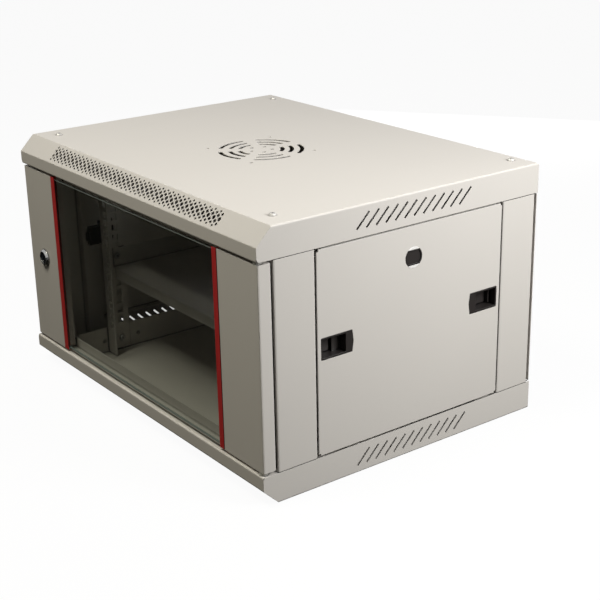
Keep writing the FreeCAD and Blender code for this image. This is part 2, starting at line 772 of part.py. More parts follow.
# ---- screws and nuts ----------------------------------------------------
def pan_screw(diameter, head, head_height, length, seat_point, axis, sides=6):
    """Pan head screw: the head's flat side is on seat_point and the shank runs along axis."""
    shank = diameter / 2 - thread_play
    profile = [(0, length), (shank, length), (shank, 0), (head / 2, 0), (0.68 * head / 2, -head_height),
               (0, -head_height)]
    return turned(profile, sides, seat_point, axis)


def hex_nut(diameter, across, thick, base, axis, sides=6):
    radius = across / 2 / math.cos(math.pi / sides)
    nut = turned([(0, 0), (radius, 0), (radius, thick), (0, thick)], sides, base, axis)
    clear = diameter / 2 / math.cos(math.pi / 6)
    return nut.cut(turned([(0, -1), (clear, -1), (clear, thick + 1), (0, thick + 1)], 6, base, axis))


def top_corner_screws():
    return Part.makeCompound([pan_screw(m6, m6_head, m6_head_height, m6_length, vector(x, front + y, height), -Z, 12)
                              for x, y in corner_screw_places()])


def bottom_corner_screws():
    """Countersunk, so that the cabinet rests flat."""
    shank, head, sink = m6 / 2 - thread_play, m6_head / 2, m6_sink
    profile = [(0, 0), (head, 0), (shank, sink), (shank, m6_length), (0, m6_length)]
    return Part.makeCompound([turned(profile, 12, vector(x, front + y, 0), Z) for x, y in corner_screw_places()])


def sink_tools():
    """Cones that let the bottom screws' heads into the cover and the posts' tabs."""
    profile = [(0, -1), (m6_head / 2 + 0.1, -1), (m6_head / 2 + 0.1, 0), (m6 / 2 - thread_play + 0.1, m6_sink),
               (m6 / 2 - thread_play + 0.1, m6_sink + 4), (0, m6_sink + 4)]
    return [turned(profile, 12, vector(x, front + y, 0), Z) for x, y in corner_screw_places()]


def rear_panel_screws():
    y = depth - rear_depth
    return Part.makeCompound([pan_screw(m4, m4_head, m4_head_height, m4_length, vector(x, front + y, z), -Y)
                              for x, z in rear_screw_places()])


# ---- shelf --------------------------------------------------------------
def shelf():
    half = rail_outer - rail_sheet
    top = shelf_top
    tray_path = [(-half, top + shelf_side), (-half, top - shelf_sheet), (half, top - shelf_sheet),
                 (half, top + shelf_side)]
    tray = folded_face(list(reversed(tray_path)), shelf_sheet, front_view(shelf_front + 2 * shelf_sheet))
    tray = tray.extrude(Y * (shelf_rear - shelf_front - 4 * shelf_sheet))
    lip_half = half - shelf_lip_inset
    lip_path = [(shelf_front, top - shelf_lip), (shelf_front, top), (shelf_front + 8 * shelf_sheet, top)]
    lip = folded_face(lip_path, shelf_sheet, side_view(-lip_half)).extrude(X * 2 * lip_half)
    rear_lip = lip.mirror(vector(0, 0, 0), Y)
    tools = [bored(shelf_hole / 2, 4 * shelf_sheet, sx * half - 2 * shelf_sheet, y, shelf_screw_z, X)
             for sx in (-1, 1) for y in (rail_screw_y, depth - rail_screw_y)]
    return solid_of(cut(union([tray, lip, rear_lip]), tools))


def shelf_screws():
    solids = []
    for side in (-1, 1):
        for y in (rail_screw_y, depth - rail_screw_y):
            seat_x = side * (rail_outer - rail_sheet - shelf_sheet)
            solids.append(pan_screw(m6, m6_head, m6_head_height, m6_length, vector(seat_x, front + y, shelf_screw_z),
                                    X * side))
    return Part.makeCompound(solids)


def cage_nuts():
    """Square nuts in the flange holes that take the shelf screws."""
    solids = []
    for side in (-1, 1):
        for y in (rail_screw_y, depth - rail_screw_y):
            base = vector(side * rail_outer, front + y, shelf_screw_z)
            nut = hex_nut(m6, m6_nut + 2, m6_nut_height, base, X * side, 4)
            nut.rotate(base, X, 45)
            solids.append(nut)
    return Part.makeCompound(solids)


# ---- door ---------------------------------------------------------------
def stile_right():
    """Hinge side stile: folded face, two returns and closed ends."""
    back = door_front + door_depth
    path = [(stile_inner + stile_lip, back), (stile_inner, back), (stile_inner, door_front),
            (door_side, door_front), (door_side, back), (door_side - stile_lip, back)]
    shell = folded_face(list(reversed(path)), cover_sheet, plan(door_bottom)).extrude(Z * (door_top - door_bottom))
    ends = [box(stile_inner + cover_sheet / 2, door_side - cover_sheet / 2, door_front + cover_sheet / 2,
                back - cover_sheet / 2, z, z + cover_sheet) for z in (door_bottom, door_top - cover_sheet)]
    return union([shell] + ends)


def door_stile_right():
    hole = pin_radius + 2 * pin_play
    tools = [rod(hole, 3 * cover_sheet, hinge_x, hinge_offset, z - cover_sheet, Z)
             for z in (door_bottom, door_top - cover_sheet)]
    return solid_of(cut(stile_right(), tools))


def door_stile_left():
    stile = mirrored_x(stile_right())
    radius = lock_body + 0.1
    hole = turned([(0, 0), (radius, 0), (radius, 3 * cover_sheet), (0, 3 * cover_sheet)], 24,
                  vector(-lock_x, front + door_front - cover_sheet, lock_z), Y)
    return solid_of(stile.cut(hole))


def door_trim_right():
    """Edge strip, with a rebate behind it for the glass."""
    y0, y1 = door_front, door_front + trim_depth
    rebate_y, rebate_x = door_front + glass_offset - glass_play, trim_inner + trim_rebate
    points = [(trim_inner, y0), (stile_inner, y0), (stile_inner, y1), (rebate_x, y1), (rebate_x, rebate_y),
              (trim_inner, rebate_y)]
    face = outline(points, [trim_round, 0, 0, 0, 0, 0], plan(door_bottom))
    return face.extrude(Z * (door_top - door_bottom))


def door_glass():
    half = trim_inner + trim_rebate - glass_play
    y0 = door_front + glass_offset
    pane = box(-half, half, y0, y0 + glass_sheet, door_bottom + glass_end_gap, door_top - glass_end_gap)
    long_edges = [e for e in pane.Edges if e.Length > 2 * half - 1]
    return pane.makeChamfer(0.5, long_edges)


# ---- hinge pins ---------------------------------------------------------
def hinge_bush_upper():
    """Flanged bush in the cover's ledge; the flange is on the door's side."""
    ledge_z = height - flange
    outer = pin_radius + pin_play + bush_wall - 0.05
    top = cover_sheet + bush_nose
    bush = turned([(0, -bush_flange), (bush_flange_radius, -bush_flange), (bush_flange_radius, 0), (outer, 0),
                   (outer, top), (0, top)], 16, vector(hinge_x, front + hinge_offset, ledge_z), Z)
    return bush.cut(rod(pin_radius + pin_play, 4 * bush_flange, hinge_x, hinge_offset, ledge_z - 2 * bush_flange, Z))


def hinge_block(z0):
    """Block in the stile that guides a pin."""
    x, y, z = block_size
    start = door_front + cover_sheet
    outer = hinge_x + block_offset
    block = box(outer - x, outer, start, start + y, z0, z0 + z)
    return block.cut(rod(pin_radius + pin_play, z + 2, hinge_x, hinge_offset, z0 - 1, Z))


def hinge_block_lower():
    return hinge_block(door_bottom + cover_sheet)


def hinge_block_upper():
    """Bracket with two lugs around the pin, its web on the side away from the cabinet's corner."""
    x, y, lug = block_size
    top = door_top - cover_sheet
    outer, start = hinge_x + block_offset, door_front + cover_sheet
    bracket = box(outer - x, outer, start, start + y, top - bracket_height, top)
    room = box(outer - x + bracket_web, outer + 1, start - 1, start + y + 1,
               top - bracket_height + bracket_lug, top - lug)
    bore = rod(pin_radius + pin_play, bracket_height + 2, hinge_x, hinge_offset, top - bracket_height - 1, Z)
    return cut(bracket, [room, bore])


def hinge_pin_lower():
    """Fixed pin with a collar above its block."""
    top = door_bottom + cover_sheet + block_size[2]
    pin = rod(pin_radius, top + 4 - (door_bottom - pin_reach), hinge_x, hinge_offset, door_bottom - pin_reach, Z)
    collar = spring_sleeve(pin_collar, pin_radius - 0.5, 2.0, vector(hinge_x, front + hinge_offset, top), Z)
    return union([pin, collar])


def upper_lug():
    """Underside of the upper lug of the bracket."""
    return door_top - cover_sheet - block_size[2]


def bracket_bottom():
    return door_top - cover_sheet - bracket_height


def hinge_pin_upper():
    """Sprung pin with a finger handle that draws it down out of its bush."""
    tip, low = height - flange + pin_tip, bracket_bottom() - pin_tail
    pin = rod(pin_radius, tip - low, hinge_x, hinge_offset, low, Z)
    handle = turned([(0, 0), (1.8, 0), (1.8, pin_handle), (0, pin_handle)], 10,
                    vector(hinge_x, front + hinge_offset, low + 2.5), -X)
    collar = spring_sleeve(pin_collar, pin_radius - 0.5, pin_collar_height,
                           vector(hinge_x, front + hinge_offset, upper_lug() - 0.05 - pin_collar_height), Z)
    return union([pin, handle, collar])


def hinge_spring():
    """Stands on the lower lug and holds the pin up by its collar."""
    low, high = bracket_bottom() + bracket_lug, upper_lug() - 0.05 - pin_collar_height
    return spring_sleeve(hinge_spring_radius, pin_radius + pin_play, high - low,
                         vector(hinge_x, front + hinge_offset, low), Z)


# ---- lock ---------------------------------------------------------------
def lock_housing():
    """Round bezel and threaded body, bored for the barrel."""
    edge = lock_bezel_height
    profile = [(0, lock_body_length), (lock_body, lock_body_length), (lock_body, 0), (lock_bezel, 0),
               (lock_bezel, -0.3 * edge), (lock_bezel - 1.8, -edge + 0.6), (lock_bezel - 2.8, -edge), (0, -edge)]
    solid = turned(profile, 20, vector(-lock_x, front + door_front, lock_z), Y)
    return solid.cut(rod(barrel + barrel_play, 3 * lock_body_length, -lock_x, -lock_body_length, lock_z, Y))


def lock_barrel():
    """Turning barrel with a key slot and a square that drives the cam."""
    start = door_front - lock_bezel_height + 1.0
    cam_y = post_front + post_sheet + cam_gap
    body_end = door_front + lock_body_length
    body = rod(barrel, body_end - start, -lock_x, start, lock_z, Y)
    neck = turned([(0, 0), (5.5, 0), (5.5, cam_y - body_end), (0, cam_y - body_end)], 12,
                  vector(-lock_x, front + body_end, lock_z), Y)
    square = box(-lock_x - 3.5, -lock_x + 3.5, cam_y - 1, cam_y + cam_sheet - 0.1, lock_z - 3.5, lock_z + 3.5)
    thread = bored(m4 / 2 - thread_play, 8.0, -lock_x, cam_y + cam_sheet - 8.0, lock_z, Y)
    slot = box(-lock_x - 1.0, -lock_x + 1.0, start - 1, start + 5, lock_z - 3.6, lock_z + 3.6)
    return solid_of(union([body, neck, square]).cut(Part.makeCompound([slot, thread])))


def lock_cam():
    """Flat cam, upright when unlocked."""
    y = post_front + post_sheet + cam_gap
    half = cam_width / 2
    points = [(-lock_x - half, lock_z - half), (-lock_x + half, lock_z - half),
              (-lock_x + half - 2, lock_z + cam_length), (-lock_x - half + 2, lock_z + cam_length)]
    plate = outline(points, [5.0, 5.0, 2.5, 2.5], front_view(y)).extrude(Y * cam_sheet)
    square = box(-lock_x - 3.6, -lock_x + 3.6, y - 1, y + cam_sheet + 1, lock_z - 3.6, lock_z + 3.6)
    return plate.cut(square)


def lock_cam_screw():
    y = post_front + post_sheet + cam_gap + cam_sheet
    return pan_screw(m4, m6_head, m4_head_height, cam_screw_length, vector(-lock_x, front + y, lock_z), -Y)


def lock_ring_nut():
    return hex_nut(2 * lock_body, 2 * lock_nut, lock_nut_height,
                   vector(-lock_x, front + door_front + cover_sheet, lock_z), Y)


# ---- build --------------------------------------------------------------
def build():
    parts = {
        "top_cover": top_cover(),
        "bottom_cover": bottom_cover(),
        "front_post_right": front_post_right(),
        "front_post_left": front_post_left(),
        "rear_post_right": rear_post(1),
        "rear_post_left": rear_post(-1),
        "rear_panel": rear_panel(),
        "rear_panel_screws": rear_panel_screws(),
        "top_corner_screws": top_corner_screws(),
        "bottom_corner_screws": bottom_corner_screws(),
        "rail_screws": rail_screws(),
        "rail_nuts": rail_nuts(),
        "shelf": shelf(),
        "shelf_screws": shelf_screws(),
        "cage_nuts": cage_nuts(),
        "door_stile_right": door_stile_right(),
        "door_stile_left": door_stile_left(),
        "door_trim_right": door_trim_right(),
        "door_trim_left": mirrored_x(door_trim_right()),
        "door_glass": door_glass(),
        "hinge_bush_upper": hinge_bush_upper(),
        "hinge_bush_lower": mirrored_z(hinge_bush_upper()),
        "hinge_block_upper": hinge_block_upper(),
        "hinge_block_lower": hinge_block_lower(),
        "hinge_pin_upper": hinge_pin_upper(),
        "hinge_pin_lower": hinge_pin_lower(),
        "hinge_spring": hinge_spring(),
        "lock_housing": lock_housing(),
        "lock_ring_nut": lock_ring_nut(),
        "lock_barrel": lock_barrel(),
        "lock_cam": lock_cam(),
        "lock_cam_screw": lock_cam_screw(),
    }
    rail, rear_rail, lower_bar = rail_right(True), mirrored_y(rail_right(False)), lower_bar_right()
    upper_bar = mirrored_z(lower_bar)
    panel, housing, slider, spring, blank = (side_panel_right(), latch_housing(), latch_slider(),
                                             latch_spring(), lock_blank())
    for side, turn in (("right", lambda s: s), ("left", mirrored_x)):
        parts["front_rail_" + side] = turn(rail)
        parts["rear_rail_" + side] = turn(rear_rail)
        parts["lower_bar_" + side] = turn(lower_bar)
        parts["upper_bar_" + side] = turn(upper_bar)
        parts["side_panel_" + side] = turn(panel)
        parts["lock_blank_" + side] = turn(blank)
        parts["latch_springs_" + side] = turn(Part.makeCompound([spring, to_rear(spring)]))
        for end, place in (("front", lambda s: s), ("rear", to_rear)):
            parts["latch_housing_%s_%s" % (side, end)] = turn(place(housing))
            parts["latch_slider_%s_%s" % (side, end)] = turn(place(slider))
    return parts


os.makedirs("parts", exist_ok=True)
for name, shape in build().items():
    shape.exportStep("parts/" + name + ".step")
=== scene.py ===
import bpy
import json
import math
from mathutils import Vector, Matrix

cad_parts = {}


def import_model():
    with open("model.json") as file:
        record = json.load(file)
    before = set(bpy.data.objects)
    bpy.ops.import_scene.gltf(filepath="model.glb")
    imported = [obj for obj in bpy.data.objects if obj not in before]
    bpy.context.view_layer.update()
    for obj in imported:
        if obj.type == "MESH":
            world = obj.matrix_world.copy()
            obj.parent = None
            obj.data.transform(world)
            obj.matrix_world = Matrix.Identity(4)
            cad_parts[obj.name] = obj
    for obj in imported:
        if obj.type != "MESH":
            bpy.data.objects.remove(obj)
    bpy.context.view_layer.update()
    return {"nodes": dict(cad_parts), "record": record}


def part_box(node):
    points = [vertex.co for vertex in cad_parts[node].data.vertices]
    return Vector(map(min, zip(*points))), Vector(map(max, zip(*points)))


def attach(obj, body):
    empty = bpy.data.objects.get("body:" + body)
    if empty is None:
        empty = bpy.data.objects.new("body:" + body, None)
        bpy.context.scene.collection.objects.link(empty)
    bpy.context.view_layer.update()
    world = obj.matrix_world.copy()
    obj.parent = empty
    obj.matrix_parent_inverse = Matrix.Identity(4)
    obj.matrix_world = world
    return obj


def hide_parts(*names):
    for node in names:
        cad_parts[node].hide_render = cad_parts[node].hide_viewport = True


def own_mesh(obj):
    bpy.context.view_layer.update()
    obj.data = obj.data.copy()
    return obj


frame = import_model()


# ---- node helpers --------------------------------------------------------
FLOAT, COLOUR, VECTOR = "NodeSocketFloat", "NodeSocketColor", "NodeSocketVector"
MIX_A, MIX_B, MIXED = 6, 7, 2      # colour sockets of the mix node


def new_group(name, inputs, outputs):
    """Shader node group with named sockets; inputs and outputs hold (name, kind, default)."""
    group = bpy.data.node_groups.new(name, "ShaderNodeTree")
    for direction, sockets in (("INPUT", inputs), ("OUTPUT", outputs)):
        for label, kind, default in sockets:
            socket = group.interface.new_socket(name=label, in_out=direction, socket_type=kind)
            if default is not None:
                socket.default_value = default
    return group, group.nodes.new("NodeGroupInput"), group.nodes.new("NodeGroupOutput")


def node(tree, kind, inputs=None, **settings):
    """New node; inputs sets its sockets, by name or number, and settings its own properties."""
    made = tree.nodes.new(kind)
    for key, value in settings.items():
        setattr(made, key, value)
    for key, value in (inputs or {}).items():
        made.inputs[key].default_value = value
    return made


def link(tree, source, target):
    tree.links.new(source, target)


def colour_mix(tree, first, second, factor=None):
    """Mix of two colours; gives the node, whose colour output is MIXED."""
    mix = node(tree, "ShaderNodeMix", data_type="RGBA")
    mix.inputs[MIX_A].default_value = first + (1,)
    mix.inputs[MIX_B].default_value = second + (1,)
    if factor is not None:
        link(tree, factor, mix.inputs[0])
    return mix


# ---- materials -----------------------------------------------------------
CORNER_SHADE_REACH = 0.003       # how far from an inner corner holes and seams get painted shade
CORNER_SHADE_SLOPE = 1.6         # how fast the painted shade darkens as the corner closes
EDGE_RADIUS = 0.0007        # rounding that shading gives to sharp edges
PEEL_HEIGHT = 0.00006
ROUGH_SWING = 0.10          # range of roughness over the fine grain
GLASS_INDEX = 1.5


def powder_group():
    """Powder coated sheet: fine orange peel, uneven tone, soft edges, and painted shade that darkens the
    colour in inner corners, holes and seams.
    """
    group, source, result = new_group(
        "PowderCoat",
        [("Colour", COLOUR, (0.7, 0.68, 0.64, 1)), ("Tone", FLOAT, 0.03), ("Grain", FLOAT, 900.0),
         ("Peel", FLOAT, 0.12), ("Roughness", FLOAT, 0.5)],
        [("Colour", COLOUR, None), ("Roughness", FLOAT, None), ("Normal", VECTOR, None)])
    place = node(group, "ShaderNodeTexCoord")
    clouds = node(group, "ShaderNodeTexNoise", {"Scale": 7.0, "Detail": 3.0, "Roughness": 0.5})
    speck = node(group, "ShaderNodeTexNoise", {"Detail": 2.0, "Roughness": 0.6})
    link(group, place.outputs["Object"], clouds.inputs["Vector"])
    link(group, place.outputs["Object"], speck.inputs["Vector"])
    link(group, source.outputs["Grain"], speck.inputs["Scale"])
    swing = node(group, "ShaderNodeMath", {1: 0.5}, operation="SUBTRACT")
    link(group, clouds.outputs["Fac"], swing.inputs[0])
    amount = node(group, "ShaderNodeMath", operation="MULTIPLY")
    link(group, swing.outputs[0], amount.inputs[0])
    link(group, source.outputs["Tone"], amount.inputs[1])
    level = node(group, "ShaderNodeMath", {1: 1.0}, operation="ADD")
    link(group, amount.outputs[0], level.inputs[0])
    tint = node(group, "ShaderNodeVectorMath", operation="SCALE")
    link(group, source.outputs["Colour"], tint.inputs[0])
    link(group, level.outputs[0], tint.inputs["Scale"])
    # painted shade: ambient occlusion darkens the base colour near inner corners, holes and seams
    corner_shade = node(group, "ShaderNodeAmbientOcclusion", {"Distance": CORNER_SHADE_REACH}, samples=8)
    link(group, tint.outputs["Vector"], corner_shade.inputs["Color"])
    kept = node(group, "ShaderNodeMath", {1: CORNER_SHADE_SLOPE, 2: 1 - CORNER_SHADE_SLOPE},
                operation="MULTIPLY_ADD", use_clamp=True)
    link(group, corner_shade.outputs["AO"], kept.inputs[0])
    shaded = node(group, "ShaderNodeVectorMath", operation="SCALE")
    link(group, tint.outputs["Vector"], shaded.inputs[0])
    link(group, kept.outputs[0], shaded.inputs["Scale"])
    link(group, shaded.outputs["Vector"], result.inputs["Colour"])
    rough = node(group, "ShaderNodeMath", {1: ROUGH_SWING, 2: -ROUGH_SWING / 2},
                 operation="MULTIPLY_ADD")
    link(group, speck.outputs["Fac"], rough.inputs[0])
    total = node(group, "ShaderNodeMath", operation="ADD")
    link(group, rough.outputs[0], total.inputs[0])
    link(group, source.outputs["Roughness"], total.inputs[1])
    link(group, total.outputs[0], result.inputs["Roughness"])
    bump = node(group, "ShaderNodeBump", {"Distance": PEEL_HEIGHT})
    soft_edge = node(group, "ShaderNodeBevel", {"Radius": EDGE_RADIUS}, samples=6)
    link(group, soft_edge.outputs["Normal"], bump.inputs["Normal"])
    link(group, source.outputs["Peel"], bump.inputs["Strength"])
    link(group, speck.outputs["Fac"], bump.inputs["Height"])
    link(group, bump.outputs["Normal"], result.inputs["Normal"])
    return group


POWDER = powder_group()


def new_material(name):
    """Empty node material; gives it, its tree and its output node."""
    material = bpy.data.materials.new(name)
    material.use_nodes = True
    tree = material.node_tree
    tree.nodes.clear()
    out = node(tree, "ShaderNodeOutputMaterial")
    return material, tree, out


def coated(name, colour, tone, grain, peel, roughness, **extra):
    """Principled surface fed by the powder coat group."""
    material, tree, out = new_material(name)
    coat = node(tree, "ShaderNodeGroup", node_tree=POWDER)
    for key, value in (("Colour", colour + (1,)), ("Tone", tone), ("Grain", grain), ("Peel", peel),
                       ("Roughness", roughness)):
        coat.inputs[key].default_value = value
    surface = node(tree, "ShaderNodeBsdfPrincipled", extra)
    link(tree, coat.outputs["Colour"], surface.inputs["Base Color"])
    link(tree, coat.outputs["Roughness"], surface.inputs["Roughness"])
    link(tree, coat.outputs["Normal"], surface.inputs["Normal"])
    link(tree, surface.outputs["BSDF"], out.inputs["Surface"])
    return material


def clear_glass():
    """Clear pane: light passes straight through, and its mirror grows at grazing angles.

    The ground edges carry painted light: a pale painted highlight where they face up, dark painted shade
    elsewhere.
    """
    material, tree, out = new_material("clear_glass")
    place = node(tree, "ShaderNodeTexCoord")
    smear = node(tree, "ShaderNodeTexNoise", {"Scale": 3.0, "Detail": 1.0})
    link(tree, place.outputs["Object"], smear.inputs["Vector"])
    tint = colour_mix(tree, (0.865, 0.875, 0.86), (0.885, 0.895, 0.88), smear.outputs["Fac"])
    through = node(tree, "ShaderNodeBsdfTransparent")
    link(tree, tint.outputs[MIXED], through.inputs["Color"])
    mirror = node(tree, "ShaderNodeBsdfGlossy", {"Color": (0.9, 0.93, 0.92, 1), "Roughness": 0.015})
    side = node(tree, "ShaderNodeNewGeometry")
    index = node(tree, "ShaderNodeMath", {1: 1 / GLASS_INDEX - GLASS_INDEX, 2: GLASS_INDEX},
                 operation="MULTIPLY_ADD")
    link(tree, side.outputs["Backfacing"], index.inputs[0])
    fresnel = node(tree, "ShaderNodeFresnel")
    link(tree, index.outputs[0], fresnel.inputs["IOR"])
    mix = node(tree, "ShaderNodeMixShader")
    link(tree, fresnel.outputs["Fac"], mix.inputs["Fac"])
    link(tree, through.outputs["BSDF"], mix.inputs[1])
    link(tree, mirror.outputs["BSDF"], mix.inputs[2])
    across = node(tree, "ShaderNodeSeparateXYZ")
    link(tree, place.outputs["Normal"], across.inputs["Vector"])
    facing = node(tree, "ShaderNodeMath", operation="ABSOLUTE")
    link(tree, across.outputs["Y"], facing.inputs[0])
    rim = node(tree, "ShaderNodeMath", {1: 0.9}, operation="LESS_THAN")
    link(tree, facing.outputs[0], rim.inputs[0])
    ground_edge = node(tree, "ShaderNodeBsdfPrincipled", {"Roughness": 0.35})
    # painted light on the edges: pale painted highlight where they face up, dark painted shade elsewhere
    upward = node(tree, "ShaderNodeMath", {1: 0.3}, operation="GREATER_THAN")
    link(tree, across.outputs["Z"], upward.inputs[0])
    edge_highlight = colour_mix(tree, (0.15, 0.18, 0.17), (0.19, 0.22, 0.205), smear.outputs["Fac"])
    edge_highlight_and_shade = colour_mix(tree, (0.02, 0.035, 0.03), (0.17, 0.20, 0.19), upward.outputs[0])
    link(tree, edge_highlight.outputs[MIXED], edge_highlight_and_shade.inputs[MIX_B])
    link(tree, edge_highlight_and_shade.outputs[MIXED], ground_edge.inputs["Base Color"])
    whole = node(tree, "ShaderNodeMixShader")
    link(tree, rim.outputs[0], whole.inputs["Fac"])
    link(tree, mix.outputs["Shader"], whole.inputs[1])
    link(tree, ground_edge.outputs["BSDF"], whole.inputs[2])
    link(tree, whole.outputs["Shader"], out.inputs["Surface"])
    return material


GREY = (0.690, 0.662, 0.628)
MATERIALS = {
    "grey_powder_coat": coated("grey_powder_coat", GREY, 0.03, 900.0, 0.12, 0.48,
                               **{"Specular IOR Level": 0.4}),
    "red_trim": coated("red_trim", (0.57, 0.034, 0.036), 0.06, 600.0, 0.05, 0.36,
                       **{"Specular IOR Level": 0.5}),
    "clear_glass": clear_glass(),
    "black_plastic": coated("black_plastic", (0.026, 0.022, 0.021), 0.25, 700.0, 0.3, 0.42),
    "lock_chrome": coated("lock_chrome", (0.62, 0.62, 0.60), 0.05, 500.0, 0.03, 0.16, Metallic=1.0),
    "lock_face": coated("lock_face", (0.03, 0.036, 0.045), 0.1, 500.0, 0.1, 0.3, Metallic=0.6),
    "white_nylon": coated("white_nylon", (0.70, 0.69, 0.65), 0.03, 400.0, 0.05, 0.4),
    "zinc_steel": coated("zinc_steel", (0.55, 0.56, 0.57), 0.08, 400.0, 0.08, 0.32, Metallic=1.0),
}

WHITE_ZINC = coated("white_zinc", (0.66, 0.645, 0.62), 0.10, 700.0, 0.15, 0.42, Metallic=0.35)
VARIANTS = {"top_corner_screws": WHITE_ZINC}

for entry in frame["record"]["subparts"]:
    cad = frame["nodes"][entry["node"]]
    cad.data.materials.clear()
    cad.data.materials.append(VARIANTS.get(entry["node"], MATERIALS[entry["material_slot"]]))


# ---- small pieces --------------------------------------------------------
SKIN = 0.00002              # how far a thin piece stands off the face behind it
# painted shade: dark colour standing in for the shade inside the screws' cross recesses
PAINTED_RECESS_SHADE = coated("recess_shade", (0.20, 0.195, 0.19), 0.2, 900.0, 0.2, 0.55, Metallic=0.3)
# painted highlight: near-white colour standing in for the light that the dished rim round the blanking
# plug catches
LIP_PAINTED_HIGHLIGHT = coated("lip_painted_highlight", (0.88, 0.87, 0.85), 0.04, 900.0, 0.1, 0.30)


def mesh_piece(name, points, faces, material, body):
    """Object from points and faces, riding on a body of the frame."""
    mesh = bpy.data.meshes.new(name)
    mesh.from_pydata([tuple(p) for p in points], [], faces)
    mesh.materials.append(material)
    mesh.update()
    made = bpy.data.objects.new(name, mesh)
    bpy.context.collection.objects.link(made)
    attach(made, body)
    return made


def loose_parts(name):
    """Box of each separate solid in a node, as (lowest, highest) corners."""
    mesh = frame["nodes"][name].data
    root = list(range(len(mesh.vertices)))

    def find(i):
        while root[i] != i:
            root[i] = root[root[i]]
            i = root[i]
        return i

    first = {}
    for vertex in mesh.vertices:
        key = tuple(round(value, 6) for value in vertex.co)
        root[find(vertex.index)] = find(first.setdefault(key, vertex.index))
    for edge in mesh.edges:
        root[find(edge.vertices[0])] = find(edge.vertices[1])
    groups = {}
    for vertex in mesh.vertices:
        groups.setdefault(find(vertex.index), []).append(vertex.co)
    return [(Vector(map(min, zip(*part))), Vector(map(max, zip(*part)))) for part in groups.values()]


SLOT_SHARE = 0.13           # half the width of a cross's arm, as a share of its span


def driver_crosses(node_name, body, span, outward):
    """Cross recesses on the screw heads of a node, drawn as thin dark plates of painted shade; outward
    gives the heads' direction from a place.
    """
    points, faces = [], []
    for low, high in loose_parts(node_name):
        middle = (low + high) / 2
        axis = Vector(outward(middle))
        face = middle + Vector(axis[k] * (high[k] - low[k]) / 2 for k in range(3))
        side = axis.orthogonal().normalized()
        up = axis.cross(side)
        arm, half = span / 2, span * SLOT_SHARE
        ring = [(arm, half), (half, half), (half, arm), (-half, arm), (-half, half), (-arm, half),
                (-arm, -half), (-half, -half), (-half, -arm), (half, -arm), (half, -half), (arm, -half)]
        start = len(points)
        for lift, share in ((SKIN, 1.0), (3 * SKIN, 0.94)):
            points += [face + axis * lift + side * (a * share) + up * (b * share) for a, b in ring]
        count = len(ring)
        faces.append([start + count + k for k in range(count)])
        faces += [[start + k, start + (k + 1) % count, start + count + (k + 1) % count, start + count + k]
                  for k in range(count)]
    return mesh_piece(node_name + "_crosses", points, faces, PAINTED_RECESS_SHADE, body)


LIP_RADIUS, LIP_FLAT = 0.0139, 0.0101      # round and flat sides of the bright segments
LIP_RISE, LIP_BEVEL = 0.00030, 0.0006
LIP_POINTS = 15                            # points on each arc


def blank_lips(side, sign):
    """Two slightly raised segments over and under the flats of a blanking plug, coloured near-white as a
    painted highlight.
    """
    low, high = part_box("lock_blank_" + side)
    panel_low, panel_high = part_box("side_panel_" + side)
    face = panel_high[0] if sign > 0 else panel_low[0]
    middle_y, middle_z = (low[1] + high[1]) / 2, (low[2] + high[2]) / 2
    points, faces = [], []
    for way in (1, -1):
        base = len(points)
        top = base + LIP_POINTS
        for lift, shrink in ((SKIN, 0.0), (LIP_RISE, LIP_BEVEL)):
            radius, flat = LIP_RADIUS - shrink, LIP_FLAT + shrink * 0.5
            first = math.asin(flat / radius)
            arc = (first + (math.pi - 2 * first) * k / (LIP_POINTS - 1) for k in range(LIP_POINTS))
            points += [(face + sign * lift, middle_y + radius * math.cos(a),
                        middle_z + way * radius * math.sin(a)) for a in arc]
        faces.append([top + k for k in range(LIP_POINTS)])
        following = [(k + 1) % LIP_POINTS for k in range(LIP_POINTS)]
        faces += [[base + k, base + following[k], top + following[k], top + k]
                  for k in range(LIP_POINTS)]
    return mesh_piece("lock_blank_lips_" + side, points, faces, LIP_PAINTED_HIGHLIGHT, "side_panel_%s_body" % side)


CLOSED_TURN = 0.04          # rise of each end turn, as a share of the spring's


def coil_spring():
    """Coil of the upper hinge pin, with a closed turn at each end.
    """
    low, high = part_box("hinge_spring")
    wire, turns, steps, sides = 0.00035, 7.0, 22, 6
    middle_x, middle_y = (low[0] + high[0]) / 2, (low[1] + high[1]) / 2
    mean = (high[0] - low[0]) / 2 - wire
    rise = high[2] - low[2] - 2 * wire
    count = int(turns * steps)
    points, faces = [], []
    for k in range(count + 1):
        turn = turns * k / count
        angle = 2 * math.pi * turn
        climb = (CLOSED_TURN * (min(turn, 1.0) + max(0.0, turn - turns + 1.0))
                 + (1 - 2 * CLOSED_TURN) * min(1.0, max(0.0, (turn - 1.0) / (turns - 2.0))))
        centre = Vector((middle_x + mean * math.cos(angle), middle_y + mean * math.sin(angle),
                         low[2] + wire + rise * climb))
        outward = Vector((math.cos(angle), math.sin(angle), 0))
        points += [centre + outward * (wire * math.cos(a)) + Vector((0, 0, wire * math.sin(a)))
                   for a in (2 * math.pi * m / sides for m in range(sides))]
        if k:
            base = (k - 1) * sides
            faces += [[base + m, base + (m + 1) % sides,
                       base + sides + (m + 1) % sides, base + sides + m] for m in range(sides)]
    faces += [list(range(sides))[::-1], [count * sides + m for m in range(sides)]]
    spring = mesh_piece("hinge_coil", points, faces, MATERIALS["zinc_steel"], "door")
    for polygon in spring.data.polygons:
        polygon.use_smooth = len(polygon.vertices) == 4
    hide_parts("hinge_spring")
    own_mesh(spring)


